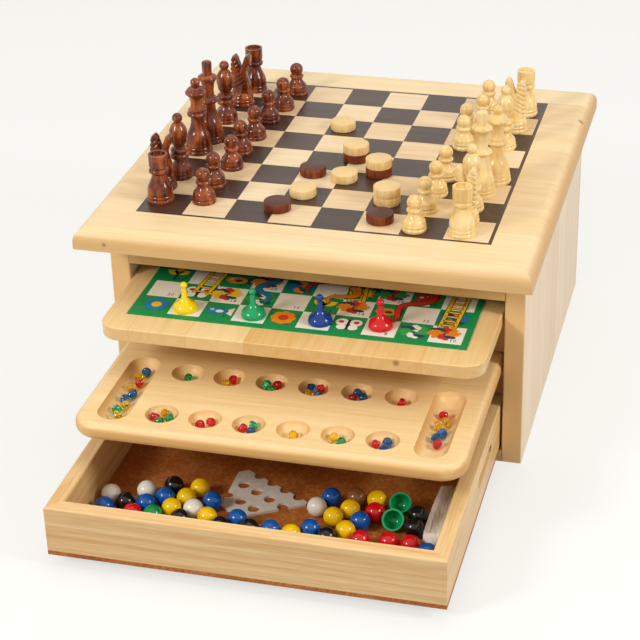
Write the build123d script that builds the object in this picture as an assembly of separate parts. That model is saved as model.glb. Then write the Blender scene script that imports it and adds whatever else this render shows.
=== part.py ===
from build123d import *
import os
from math import cos, pi, radians, sin, sqrt

# A games compendium box of solid pale wood. The case has two side panels, a bottom board, a back
# panel and a narrow front rail, and a thick rounded top board is screwed down on it. An inlaid
# chessboard fills the top. Two flat trays and a drawer slide out of the front, one above the other:
# the upper tray carries a snakes-and-ladders card, the lower one is hollowed as a mancala board,
# and the drawer holds the loose pieces.
#
# Millimetres, +Z up, +Y to the back. The origin is the centre of the case's underside, so the case
# front is the plane Y = -CASE_DEPTH / 2. The trays and the drawer are modelled pulled out.

# ---------------------------------------------------------------- driving dimensions
CASE_WIDTH = 272.0
CASE_DEPTH = 255.0
PANEL = 13.0               # side panels and front rail
BOTTOM = 8.0
BACK = 8.0
RAIL_HEIGHT = 26.0
LOWER_BAY = 20.0           # from the drawer's top up to the lower tray
MIDDLE_BAY = 26.5          # from the lower tray up to the upper one
UPPER_BAY = 36.0           # from the upper tray up to the top board
PANEL_EDGE = 1.0           # softened front edges

TOP_THICKNESS = 14.0
TOP_SIDE_OVERHANG = 9.0
TOP_FRONT_OVERHANG = 37.0
TOP_BACK_OVERHANG = 2.0
TOP_EDGE_RADIUS = 9.0

SQUARE = 28.0
VENEER = 0.8
BORDER = 2.2

SIDE_PLAY = 1.5            # between a tray or the drawer and a side panel
REAR_PLAY = 4.0            # behind a closed tray
KICKER_PLAY = 1.0          # between a tray and the strip that keeps it from tipping

DRAWER_HEIGHT = 33.5
DRAWER_WALL = 10.0
DRAWER_BASE = 3.0
DRAWER_DEPTH = 242.0
DRAWER_OUT = 170.0
DRAWER_EDGE = 1.2
DRAWER_SLOT_LENGTH = 44.0
DRAWER_SLOT_HEIGHT = 8.0
DRAWER_SLOT_DEPTH = 5.0
DRAWER_SLOT_BEHIND_FRONT = 118.0
DRAWER_SLOT_BELOW_TOP = 12.0

LOWER_TRAY = 11.0
LOWER_TRAY_CORNER = 16.0
LOWER_TRAY_NOSE = 4.5
LOWER_OUT = 124.0

UPPER_TRAY = 9.0
UPPER_TRAY_CORNER = 13.0
UPPER_TRAY_EDGE = 0.8
UPPER_OUT = 67.0

RUNNER_WIDTH = 8.0
RUNNER_SETBACK = 14.0
CLEAT_WIDTH = 10.0
CLEAT_SETBACK = 60.0

PIT_DIAMETER = 20.5
PIT_DEPTH = 7.5
PIT_PITCH = 27.5
PIT_FRONT_ROW = 22.0       # from the tray's front edge to the middle of the front row
PIT_ROW_SPACING = 50.0
STORE_LENGTH = 76.0
STORE_OFFSET = 98.5        # from the middle of the tray to the middle of a store
GEM_RADIUS = 3.2
GEM_TURN = 35.0            # how much further round the gems lie in each next pit
SEAT_GAP = 0.05            # under anything round that lies on wood

CARD_WIDTH = 216.0
CARD = 0.8
CARD_BEHIND_FRONT = 19.0
COUNTER_RADIUS = 7.9

BALL_DIAMETER = 12.4
HEAPS_MEET = 11.9          # how far right of the middle the left heap of balls meets the right one
CUP_RADIUS = 6.8
CUP_WALL = 1.2
CUP_LEAN = 52.0            # how far the front cup leans
REAR_CUP_LEAN = 35.0
PIERCED_CARD = 1.5
PIERCED_SIDE = 62.0
PIERCED_HOLE = 7.4
PIERCED_PITCH = 11.6       # between holes in a row
PIERCED_ROWS = 13.8        # between rows
BLUNT_CORNER = 7.0         # how much of each edge a blunted corner takes
CUT_CORNER = 17.0
BAG_WIDTH = 15.0
BAG_LENGTH = 60.0
BAG_HEIGHT = 14.0
BAG_ROUNDING = 4.5

DRAUGHT_RADIUS = 8.7
DRAUGHT_HEIGHT = 6.0
DRAUGHT_ROUNDING = 0.7

DOWEL_DIAMETER = 6.0
DOWEL_LENGTH = 20.0
SCREW_DIAMETER = 3.6
SCREW_HEAD_DIAMETER = 7.0
SCREW_HEAD = 2.4
RUNNER_SCREW_LENGTH = 17.0
TOP_SCREW_LENGTH = 25.0
TOP_SCREW_RECESS = 18.0    # how far a top screw's head stands up inside its cleat
PIN_DIAMETER = 1.5
PIN_LENGTH = 11.0

# ---------------------------------------------------------------- places worked out from them
FRONT = -CASE_DEPTH / 2
REAR = CASE_DEPTH / 2
INNER_HALF = CASE_WIDTH / 2 - PANEL

DRAWER_TOP = BOTTOM + DRAWER_HEIGHT
LOWER_UNDERSIDE = DRAWER_TOP + LOWER_BAY
LOWER_TRAY_TOP = LOWER_UNDERSIDE + LOWER_TRAY
UPPER_UNDERSIDE = LOWER_TRAY_TOP + MIDDLE_BAY
UPPER_TRAY_TOP = UPPER_UNDERSIDE + UPPER_TRAY
CASE_HEIGHT = UPPER_TRAY_TOP + UPPER_BAY

TOP_WIDTH = CASE_WIDTH + 2 * TOP_SIDE_OVERHANG
TOP_FRONT = FRONT - TOP_FRONT_OVERHANG
TOP_DEPTH = REAR + TOP_BACK_OVERHANG - TOP_FRONT
TOP_CENTRE = TOP_FRONT + TOP_DEPTH / 2
TOP_FACE = CASE_HEIGHT + TOP_THICKNESS

SLIDE_HALF = INNER_HALF - SIDE_PLAY
TRAY_DEPTH = CASE_DEPTH - BACK - REAR_PLAY
UPPER_FRONT = FRONT - UPPER_OUT
LOWER_FRONT = FRONT - LOWER_OUT
CARD_FRONT = UPPER_FRONT + CARD_BEHIND_FRONT

DRAWER_FRONT = FRONT - DRAWER_OUT
DRAWER_REAR = DRAWER_FRONT + DRAWER_DEPTH
DRAWER_FLOOR = BOTTOM + DRAWER_BASE
DRAWER_INNER = SLIDE_HALF - DRAWER_WALL

PIT_RADIUS = PIT_DIAMETER / 2
PIT_SPHERE = (PIT_RADIUS**2 + PIT_DEPTH**2) / (2 * PIT_DEPTH)
PIT_CENTRE = LOWER_TRAY_TOP + PIT_SPHERE - PIT_DEPTH


def save(name, *pieces):
    """Write one node, which is one solid or a group of separate solids that are alike."""
    solids = [solid for piece in pieces for solid in piece.solids()]
    shape = solids[0] if len(solids) == 1 else Compound(solids)
    export_step(shape, f"parts/{name}.step")


def block(x0, x1, y0, y1, z0, z1):
    """A plain board between two corners."""
    return Pos((x0 + x1) / 2, (y0 + y1) / 2, (z0 + z1) / 2) * Box(x1 - x0, y1 - y0, z1 - z0)


def on_both_sides(piece):
    """A piece on the left of the box and its mirror image on the right."""
    return [piece, mirror(piece, about=Plane.YZ)]


def drilled(board, fasteners):
    """A board with a hole for each fastener that runs into it."""
    for fastener in fasteners:
        board -= fastener
    return board


# ---------------------------------------------------------------- fasteners
def screw(length):
    """A countersunk wood screw along +Z, with the face of its head at Z = 0."""
    head = Pos(0, 0, SCREW_HEAD / 2) * Cone(SCREW_HEAD_DIAMETER / 2, SCREW_DIAMETER / 2, SCREW_HEAD)
    shank = Pos(0, 0, (length + SCREW_HEAD) / 2) * Cylinder(SCREW_DIAMETER / 2, length - SCREW_HEAD)
    return head + shank


def case_dowels():
    """Dowels that join the rail, the bottom board and the back panel to the side panels."""
    rail = [(FRONT + PANEL / 2, CASE_HEIGHT - RAIL_HEIGHT * part / 4) for part in (1, 3)]
    bottom = [(FRONT + (CASE_DEPTH - BACK) * part / 6, BOTTOM / 2) for part in (1, 3, 5)]
    back = [(REAR - BACK / 2, BOTTOM + (CASE_HEIGHT - BOTTOM) * part / 4) for part in (1, 2, 3)]
    dowel = Rot(0, 90, 0) * Cylinder(DOWEL_DIAMETER / 2, DOWEL_LENGTH)
    found = []
    for y, z in rail + bottom + back:
        found += on_both_sides(Pos(-INNER_HALF, y, z) * dowel)
    return found


def strip_heights():
    """The lowest and highest level of each pair of runners and cleats, from below."""
    return (
        (DRAWER_TOP + KICKER_PLAY, LOWER_UNDERSIDE),
        (LOWER_TRAY_TOP + KICKER_PLAY, UPPER_UNDERSIDE),
        (UPPER_TRAY_TOP + CARD + KICKER_PLAY, CASE_HEIGHT),
    )


def strip_screws():
    """Screws through each runner and cleat, from the inside, into its side panel."""
    found = []
    for (low, high), setback, width in zip(strip_heights(), STRIP_SETBACKS, STRIP_WIDTHS):
        for part in (1, 7):
            y = FRONT + setback + (CASE_DEPTH - BACK - setback) * part / 8
            place = Pos(-INNER_HALF + width, y, (low + high) / 2) * Rot(0, -90, 0)
            found += on_both_sides(place * screw(RUNNER_SCREW_LENGTH))
    return found


def top_screws():
    """Screws that run up out of the cleats into the top board."""
    found = []
    low = strip_heights()[-1][0] + TOP_SCREW_RECESS
    for part in (1, 3):
        y = FRONT + CLEAT_SETBACK + (CASE_DEPTH - BACK - CLEAT_SETBACK) * part / 4
        found += on_both_sides(Pos(-INNER_HALF + CLEAT_WIDTH / 2, y, low) * screw(TOP_SCREW_LENGTH))
    return found


STRIP_SETBACKS = (RUNNER_SETBACK, RUNNER_SETBACK, CLEAT_SETBACK)
STRIP_WIDTHS = (RUNNER_WIDTH, RUNNER_WIDTH, CLEAT_WIDTH)


# ---------------------------------------------------------------- case
def side_panel():
    """The left side board, with softened front edges."""
    panel = block(-CASE_WIDTH / 2, -INNER_HALF, FRONT, REAR, 0, CASE_HEIGHT)
    return fillet(panel.edges().filter_by(Axis.Z).sort_by(Axis.Y)[:2], PANEL_EDGE)


def strip(level):
    """The left one of a pair of runners or cleats, from its setback to the back panel."""
    low, high = strip_heights()[level]
    front = FRONT + STRIP_SETBACKS[level]
    return block(-INNER_HALF, -INNER_HALF + STRIP_WIDTHS[level], front, REAR - BACK, low, high)


def drilled_for_top_screws(cleat):
    """A cleat with a wide hole below each top screw, so that its head can go up inside."""
    low = strip_heights()[-1][0]
    for fastener in top_screws():
        at = fastener.bounding_box()
        middle = at.center()
        hole = Cylinder(SCREW_HEAD_DIAMETER / 2, at.min.Z - low)
        cleat -= Pos(middle.X, middle.Y, (low + at.min.Z) / 2) * hole
    return drilled(cleat, top_screws())


def top_board():
    """The thick top: its upper edge is rounded all round, and the inlay lies in a shallow bed."""
    board = Box(TOP_WIDTH, TOP_DEPTH, TOP_THICKNESS)
    board = fillet(board.faces().sort_by(Axis.Z)[-1].edges(), TOP_EDGE_RADIUS)
    board = Pos(0, TOP_CENTRE, CASE_HEIGHT + TOP_THICKNESS / 2) * board
    bed = 8 * SQUARE + 2 * BORDER
    return board - Pos(0, TOP_CENTRE, TOP_FACE - VENEER / 2) * Box(bed, bed, VENEER)


def on_board(column, row, height=0.0):
    """A place on the board, in squares from its middle."""
    return Pos(column * SQUARE, TOP_CENTRE + row * SQUARE, TOP_FACE + height)


def chess_squares(dark):
    """The 32 veneer squares of one colour. The near left square is a dark one."""
    tile = Box(SQUARE, SQUARE, VENEER)
    places = [(row, column) for row in range(8) for column in range(8)]
    return [
        on_board(column - 3.5, row - 3.5, -VENEER / 2) * tile
        for row, column in places
        if ((row + column) % 2 == 0) == dark
    ]


def chessboard_border():
    """The thin dark line of veneer round the squares."""
    inner = 8 * SQUARE
    outer = inner + 2 * BORDER
    return on_board(0, 0, -VENEER / 2) * (Box(outer, outer, VENEER) - Box(inner, inner, VENEER))


# ---------------------------------------------------------------- trays
def tray_board(front, underside, top, corner, edge):
    """A flat sliding board with two round front corners and softened edges."""
    board = block(-SLIDE_HALF, SLIDE_HALF, front, front + TRAY_DEPTH, underside, top)
    board = fillet(board.edges().filter_by(Axis.Z).sort_by(Axis.Y)[:2], corner)
    faces = board.faces().sort_by(Axis.Z)
    rims = [rim for rim in faces[0].edges() + faces[-1].edges() if rim.center().Y < front + TRAY_DEPTH - 1]
    return fillet(rims, edge)


def pit_places():
    """The middle of each of the twelve pits."""
    rows = (LOWER_FRONT + PIT_FRONT_ROW, LOWER_FRONT + PIT_FRONT_ROW + PIT_ROW_SPACING)
    return [((column - 2.5) * PIT_PITCH, y) for y in rows for column in range(6)]


def store_places():
    """The middle of each of the two long stores, at the ends of the rows."""
    y = LOWER_FRONT + PIT_FRONT_ROW + PIT_ROW_SPACING / 2
    return [(-STORE_OFFSET, y), (STORE_OFFSET, y)]


def lower_tray():
    """The mancala board: ball-nosed pits in two rows, and a long store at each end."""
    board = tray_board(LOWER_FRONT, LOWER_UNDERSIDE, LOWER_TRAY_TOP, LOWER_TRAY_CORNER, LOWER_TRAY_NOSE)
    for x, y in pit_places():
        board -= Pos(x, y, PIT_CENTRE) * Sphere(PIT_SPHERE)
    straight = STORE_LENGTH - PIT_DIAMETER
    trough = Rot(90, 0, 0) * Cylinder(PIT_SPHERE, straight)
    for end in (-straight / 2, straight / 2):
        trough += Pos(0, end, 0) * Sphere(PIT_SPHERE)
    for x, y in store_places():
        board -= Pos(x, y, PIT_CENTRE) * trough
    return board


def gem(x, y, out, turn):
    """A glass bead that lies in a round hollow, `out` from the hollow's middle."""
    drop = sqrt((PIT_SPHERE - GEM_RADIUS - SEAT_GAP) ** 2 - out**2)
    place = Pos(x + out * cos(radians(turn)), y + out * sin(radians(turn)), PIT_CENTRE - drop)
    return place * Sphere(GEM_RADIUS)


def beads_in_pits():
    """The colours of the beads in each pit, from the left: the front row first, then the rear row."""
    front = ("green yellow red green", "red red", "green red blue", "yellow", "yellow green", "red blue blue")
    rear = ("green", "yellow red", "green red green", "blue red blue yellow", "blue blue red", "red")
    return front + rear


def beads_in_stores():
    """The colours of the beads in the left and in the right store, from the front."""
    left = "yellow green yellow blue blue yellow red yellow blue"
    right = "red blue blue yellow yellow red"
    return left, right


def gems():
    """All the beads, by colour: rings of them in the pits, and a winding line in each store."""
    found = {"red": [], "blue": [], "green": [], "yellow": []}
    for pit, ((x, y), colours) in enumerate(zip(pit_places(), beads_in_pits())):
        count = len(colours.split())
        ring = 1.04 * GEM_RADIUS / sin(pi / count) if count > 1 else 0
        for bead, colour in enumerate(colours.split()):
            found[colour].append(gem(x, y, ring, 360 / count * bead + GEM_TURN * pit))
    for (x, y), colours in zip(store_places(), beads_in_stores()):
        count = len(colours.split())
        for bead, colour in enumerate(colours.split()):
            along = (bead - (count - 1) / 2) * 2.05 * GEM_RADIUS
            side = 180 if bead % 2 else 0
            found[colour].append(gem(x, y + along, 0.45 * GEM_RADIUS, side))
    return found


def card():
    """The thin square card that is glued on the upper tray."""
    half = CARD_WIDTH / 2
    return block(-half, half, CARD_FRONT, CARD_FRONT + CARD_WIDTH, UPPER_TRAY_TOP, UPPER_TRAY_TOP + CARD)


# ---------------------------------------------------------------- drawer
def drawer_ring():
    """The drawer's four walls as one ring, before it is cut at its joints."""
    outer = block(-SLIDE_HALF, SLIDE_HALF, DRAWER_FRONT, DRAWER_REAR, DRAWER_FLOOR, DRAWER_TOP)
    y0, y1 = DRAWER_FRONT + DRAWER_WALL, DRAWER_REAR - DRAWER_WALL
    ring = outer - block(-DRAWER_INNER, DRAWER_INNER, y0, y1, DRAWER_FLOOR, DRAWER_TOP)
    ring = fillet(ring.faces().sort_by(Axis.Z)[-1].edges(), DRAWER_EDGE)
    slot = Plane.YZ * SlotOverall(DRAWER_SLOT_LENGTH, DRAWER_SLOT_HEIGHT)
    y, z = DRAWER_FRONT + DRAWER_SLOT_BEHIND_FRONT, DRAWER_TOP - DRAWER_SLOT_BELOW_TOP
    cutter = Pos(-SLIDE_HALF, y, z) * extrude(slot, amount=DRAWER_SLOT_DEPTH)
    return drilled(ring, on_both_sides(cutter))


def drawer_walls():
    """The front and the left side, which meet in a mitre, and the back that stands between them."""
    ring = drawer_ring()
    y0, y1, wall = DRAWER_FRONT, DRAWER_REAR, DRAWER_WALL
    front_plan = [(-SLIDE_HALF, y0), (SLIDE_HALF, y0), (DRAWER_INNER, y0 + wall), (-DRAWER_INNER, y0 + wall)]
    side_plan = [(-SLIDE_HALF, y0), (-DRAWER_INNER, y0 + wall), (-DRAWER_INNER, y1), (-SLIDE_HALF, y1)]
    front = ring & extrude(Polygon(*front_plan, align=None), amount=DRAWER_TOP)
    side = ring & extrude(Polygon(*side_plan, align=None), amount=DRAWER_TOP)
    back = ring & block(-DRAWER_INNER, DRAWER_INNER, y1 - wall, y1, 0, DRAWER_TOP)
    return front, side, back


def drawer_dowels():
    """Dowels through the sides into the ends of the drawer's back."""
    dowel = Rot(0, 90, 0) * Cylinder(DOWEL_DIAMETER / 2, DOWEL_LENGTH)
    x, y = -SLIDE_HALF + DOWEL_LENGTH / 2, DRAWER_REAR - DRAWER_WALL / 2
    found = []
    for part in (1, 3):
        found += on_both_sides(Pos(x, y, DRAWER_FLOOR + (DRAWER_TOP - DRAWER_FLOOR) * part / 4) * dowel)
    return found


def drawer_pins():
    """Pins that hold the thin bottom up against the walls."""
    pin = Cylinder(PIN_DIAMETER / 2, PIN_LENGTH)
    x, z = SLIDE_HALF - DRAWER_WALL / 2, BOTTOM + PIN_LENGTH / 2
    y0, y1 = DRAWER_FRONT + DRAWER_WALL / 2, DRAWER_REAR - DRAWER_WALL / 2
    found = [Pos(0, y0, z) * pin, Pos(0, y1, z) * pin]
    for part in (1, 3, 5):
        found += on_both_sides(Pos(-x, y0 + (y1 - y0) * part / 6, z) * pin)
    return found


def in_drawer(side, across, back, height=0.0):
    """A place in the drawer, in ball diameters from one side wall and from the front wall."""
    x = side * (DRAWER_INNER - across * BALL_DIAMETER)
    y = DRAWER_FRONT + DRAWER_WALL + back * BALL_DIAMETER
    return Pos(x, y, DRAWER_FLOOR + height)


def left_heap():
    """Where the balls of the left heap lie, in ball diameters from the left and the front wall."""
    return {
        "white": ((0.8, 3.72), (2.45, 4.4), (5.22, 3.37)),
        "black": ((1.75, 3.2), (3.65, 5.08), (4.85, 2.4), (6.95, 2.2), (8.4, 2.35)),
        "blue": ((0.85, 2.6), (2.78, 3.3), (3.55, 4.05), (5.95, 4.2), (7.6, 3.0), (9.42, 2.5)),
        "yellow": ((4.15, 3.2), (4.6, 4.2), (5.0, 5.15), (6.1, 2.85)),
        "red": ((2.4, 2.35),),
        "green": ((3.42, 2.45),),
        "brown": (),
    }


def right_heap():
    """Where the balls of the right heap lie, in ball diameters from the right and the front wall."""
    return {
        "yellow": ((7.5, 2.35), (5.0, 3.22), (5.85, 4.2), (5.2, 5.0), (4.1, 6.06)),
        "blue": ((6.68, 2.98), (4.5, 4.13), (6.35, 5.8), (0.75, 2.3)),
        "brown": ((5.15, 6.05),),
        "white": ((6.85, 4.85),),
        "black": ((5.75, 2.5), (1.8, 4.15), (1.85, 5.2)),
        "red": ((4.13, 2.6), (2.75, 2.75), (1.68, 2.75), (3.95, 5.02)),
    }


def balls():
    """The wooden balls, by colour. A drawer too narrow for both heaps goes without those between."""
    found = {colour: [] for colour in left_heap()}
    for side, heap in ((-1, left_heap()), (1, right_heap())):
        room = DRAWER_INNER - side * HEAPS_MEET - BALL_DIAMETER / 2
        for colour, places in heap.items():
            for across, back in places:
                if across * BALL_DIAMETER <= room:
                    place = in_drawer(side, across, back, BALL_DIAMETER / 2 + SEAT_GAP)
                    found[colour].append(place * Sphere(BALL_DIAMETER / 2))
    return found


def cup(lean):
    """A small cup with a round bottom, which lies leaning forward."""
    rim = CUP_RADIUS / 2
    bore = CUP_RADIUS - CUP_WALL
    outside = Sphere(CUP_RADIUS) + Pos(0, 0, rim / 2) * Cylinder(CUP_RADIUS, rim)
    inside = Sphere(bore) + Pos(0, 0, rim) * Cylinder(bore, 2 * rim)
    above = Pos(0, 0, rim + CUP_RADIUS) * Box(3 * CUP_RADIUS, 3 * CUP_RADIUS, 2 * CUP_RADIUS)
    return Rot(lean, 0, 0) * (outside - inside - above)


def cups():
    """The two cups among the balls of the right heap. The front one leans further."""
    height = CUP_RADIUS + SEAT_GAP
    front = in_drawer(1, 2.9, 4.5, height) * cup(CUP_LEAN)
    rear = in_drawer(1, 2.85, 5.85, height) * cup(REAR_CUP_LEAN)
    return [front, rear]


def pierced_card():
    """A three-cornered card with rows of holes, some of which run out over its edges."""
    slope, far = cos(radians(30)), PIERCED_SIDE / 2
    left = -PIERCED_SIDE * slope
    plate = Polygon(
        (0, 0),
        (left + BLUNT_CORNER * slope, far - BLUNT_CORNER / 2),
        (left, far - BLUNT_CORNER),
        (left, CUT_CORNER - far),
        (left + CUT_CORNER * slope, CUT_CORNER / 2 - far),
        align=None,
    )
    rows = Rot(0, 0, -30) * Pos(-2.9 * PIERCED_PITCH, -PIERCED_ROWS)
    for row in range(-1, 2):
        for hole in range(-1, 4):
            plate -= rows * Pos(hole * PIERCED_PITCH, row * PIERCED_ROWS) * Circle(PIERCED_HOLE / 2)
    return in_drawer(-1, 10.6, 5.58) * extrude(plate, amount=PIERCED_CARD)


def parts_bag():
    """A small filled bag that lies along the drawer's right wall."""
    x1 = DRAWER_INNER - SEAT_GAP
    y0 = DRAWER_FRONT + DRAWER_WALL + 2.9 * BALL_DIAMETER
    bag = block(x1 - BAG_WIDTH, x1, y0, y0 + BAG_LENGTH, DRAWER_FLOOR, DRAWER_FLOOR + BAG_HEIGHT)
    return fillet(bag.edges(), BAG_ROUNDING)


# ---------------------------------------------------------------- turned pieces
# A turned piece is a stack of sections. Each has the radius that it ends at, its height, and how far
# its outline bows out, or in when negative, from the straight line between its ends. A round knob
# may stand on the last section. The men are drawn on a board of 28 mm squares and follow its size.
MAN = SQUARE / 28.0
KNIGHT_BOARD = 7.6


def turned(foot_radius, sections, knob=0.0):
    """Turn a stack of sections on the Z axis, with the foot on Z = 0."""
    radius, z = foot_radius, 0.0
    outline = [Line((0, 0), (radius, 0))]
    for end, height, bow in sections:
        start, stop = Vector(radius, z), Vector(end, z + height)
        if bow:
            outwards = Vector(height, radius - end).normalized()
            outline.append(ThreePointArc(start, (start + stop) * 0.5 + outwards * bow, stop))
        else:
            outline.append(Line(start, stop))
        radius, z = end, z + height
    if knob:
        centre = z + sqrt(knob**2 - radius**2)
        outline.append(ThreePointArc((radius, z), (knob, centre), (0, centre + knob)))
        z = centre + knob
    elif radius:
        outline.append(Line((radius, z), (0, z)))
    outline.append(Line((0, z), (0, 0)))
    return revolve(make_face(Plane.XZ * (Curve() + outline)), Axis.Z)


def foot(radius):
    """The moulded foot that all the men share."""
    return [(radius + 0.1, 2.3, 0.3), (radius - 0.5, 0.5, 0.0), (radius - 0.4, 2.1, 0.5)]


def pawn():
    """A ball on a bell, with one collar."""
    bell = [(6.1, 3.0, 0.35), (3.7, 3.8, -0.3)]
    collar = [(4.4, 1.0, 0.2), (4.5, 2.0, 0.5), (3.4, 0.7, 0.0)]
    return turned(7.5, foot(7.5) + bell + collar, knob=4.7)


def rook():
    """A round tower with a sunk top."""
    bell = [(7.2, 6.6, 0.5), (4.3, 7.2, -0.15)]
    collar = [(5.9, 1.0, 0.0), (6.0, 2.6, 0.5), (5.0, 0.8, 0.0)]
    tower = [(6.2, 1.2, 0.0), (6.2, 8.0, 0.0), (4.7, 0.0, 0.0), (4.7, -2.0, 0.0)]
    return turned(8.4, foot(8.4) + bell + collar + tower)


def bishop():
    """A pointed egg with a small ball on it."""
    bell = [(5.7, 3.6, 0.5), (3.5, 4.2, -0.3)]
    collar = [(5.9, 1.0, 0.0), (6.1, 2.8, 0.4), (4.8, 0.9, 0.0)]
    cushion = [(5.4, 0.5, 0.0), (5.2, 2.5, 0.6), (3.8, 0.7, 0.0), (3.6, 1.2, 0.0)]
    egg = [(5.2, 4.6, 0.6), (5.8, 4.6, 0.3), (4.6, 4.2, 0.4), (2.1, 2.9, 0.3)]
    return turned(7.9, foot(7.9) + bell + collar + cushion + egg, knob=3.4)


def queen():
    """A flared crown with a ball on it."""
    bell = [(8.4, 2.6, 0.2), (6.8, 7.0, 0.4), (4.4, 7.5, -0.4), (4.3, 3.4, 0.0)]
    collar = [(6.4, 1.2, 0.0), (6.5, 1.8, 0.3), (5.2, 1.2, 0.2), (5.3, 1.6, 0.5), (4.4, 0.6, 0.0)]
    crown = [(4.3, 6.0, -0.5), (6.6, 3.6, -0.4), (6.4, 2.6, 0.7), (2.3, 3.2, 0.5)]
    return turned(9.2, foot(9.2) + bell + collar + crown, knob=3.3)


def king():
    """A flared crown with a short post on it."""
    bell = [(8.6, 2.6, 0.2), (7.0, 8.0, 0.4), (4.5, 8.5, -0.4), (4.4, 3.4, 0.0)]
    collar = [(6.2, 1.2, 0.0), (6.5, 2.2, 0.5), (4.4, 1.4, 0.0)]
    crown = [(4.2, 7.0, -0.5), (6.3, 5.5, -0.6), (6.3, 2.0, 0.3), (3.2, 1.6, 0.2)]
    post = [(3.4, 7.6, 0.0), (2.4, 1.4, 0.3)]
    return turned(9.4, foot(9.4) + bell + collar + crown + post)


def knight():
    """A head sawn from a board, with one arm for ears and mane and one for the muzzle. It looks along +X."""
    base = turned(8.3, foot(8.3) + [(7.2, 3.0, 0.4), (6.0, 2.0, 0.3)])
    nape = [(-5.4, 8.0), (-6.4, 13.0), (-6.9, 20.0), (-7.0, 28.0), (-6.5, 33.6)]
    ears = [(-5.5, 36.4), (-4.0, 37.2), (-2.6, 35.8), (-1.4, 32.0)]
    muzzle = [(0.2, 27.2), (2.2, 32.4), (3.8, 36.8), (5.6, 37.8), (7.4, 35.8), (7.0, 31.6)]
    throat = [(4.8, 28.4), (3.8, 25.2), (4.4, 21.0), (6.2, 15.5), (6.8, 11.0), (5.4, 8.0)]
    profile = Plane.XZ * Polygon(*nape, *ears, *muzzle, *throat, align=None)
    return base + extrude(profile, amount=KNIGHT_BOARD / 2, both=True)


def dark_army():
    """How each dark man is made and where it stands, in squares from the middle of the board."""
    return {
        "king": (king, ((-3.64, 0.14),)),
        "queen": (queen, ((-3.71, -0.57),)),
        "bishops": (bishop, ((-3.68, -2.04), (-3.61, 1.36))),
        "knights": (knight, ((-3.86, -2.71), (-3.54, 2.5))),
        "rooks": (rook, ((-3.71, -3.39), (-3.5, 3.5))),
        "pawns": (
            pawn,
            (
                (-2.71, -3.25), (-2.75, -2.36), (-2.64, -1.32), (-2.68, -0.43),
                (-2.61, 0.5), (-2.57, 1.57), (-2.43, 2.43), (-2.36, 3.46),
            ),
        ),
    }


def pale_army():
    """How each pale man is made and where it stands, in squares from the middle of the board."""
    return {
        "king": (king, ((3.39, -1.57),)),
        "queen": (queen, ((3.61, -0.79),)),
        "bishops": (bishop, ((3.32, -2.39), (3.46, 1.14))),
        "knights": (knight, ((3.32, -3.04), (3.54, 2.25))),
        "rooks": (rook, ((3.36, -3.68), (3.61, 3.32))),
        "pawns": (
            pawn,
            (
                (2.29, -3.68), (2.32, -2.68), (2.39, -1.79), (2.43, -0.89),
                (2.5, 0.96), (2.43, 1.68), (2.71, 2.36), (2.68, 3.29),
            ),
        ),
    }


def draught_places():
    """Where the draughts lie, in the same way, and which ones each place holds from the bottom up."""
    return (
        (-0.96, -3.29, ("dark",)),
        (-0.59, -2.45, ("pale",)),
        (-0.66, -1.29, ("dark",)),
        (0.14, -1.45, ("pale",)),
        (0.14, -0.29, ("dark", "pale")),
        (0.86, -1.0, ("dark", "pale")),
        (-0.63, 1.48, ("pale",)),
        (1.39, -2.46, ("pale", "pale")),
        (1.45, -3.41, ("dark",)),
    )


def men(army, colour, facing):
    """Write one army, which faces along +X or, with facing = 180, along -X."""
    for kind, (make, places) in army.items():
        man = Rot(0, 0, facing) * scale(make(), by=MAN)
        save(f"{kind}_{colour}", *[on_board(column, row) * man for column, row in places])


def draughts(colour):
    """All the draughts of one colour, alone or in a stack."""
    disc = Pos(0, 0, DRAUGHT_HEIGHT / 2) * Cylinder(DRAUGHT_RADIUS, DRAUGHT_HEIGHT)
    disc = fillet(disc.edges().filter_by(GeomType.CIRCLE), DRAUGHT_ROUNDING)
    return [
        on_board(column, row, level * DRAUGHT_HEIGHT) * disc
        for column, row, stack in draught_places()
        for level, found in enumerate(stack)
        if found == colour
    ]


def counter():
    """An onion-shaped counter with a long thin neck and a small knob."""
    onion = [(1.0, 0.14, 0.0), (0.5, 0.62, 0.16), (0.24, 0.36, -0.06)]
    neck = [(0.2, 0.72, 0.0), (0.17, 0.1, 0.0)]
    return scale(turned(0.94, onion + neck, knob=0.29), by=COUNTER_RADIUS)


def counters():
    """The four counters, which stand in cells of the card's grid of ten by ten."""
    cell = CARD_WIDTH / 10
    places = {"yellow": (-3.4, 0.55), "green": (-1.35, 0.6), "blue": (0.63, 0.65), "red": (2.38, 0.74)}
    found = {}
    for colour, (across, back) in places.items():
        place = Pos(across * cell, CARD_FRONT + back * cell, UPPER_TRAY_TOP + CARD)
        found[colour] = place * counter()
    return found


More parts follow.
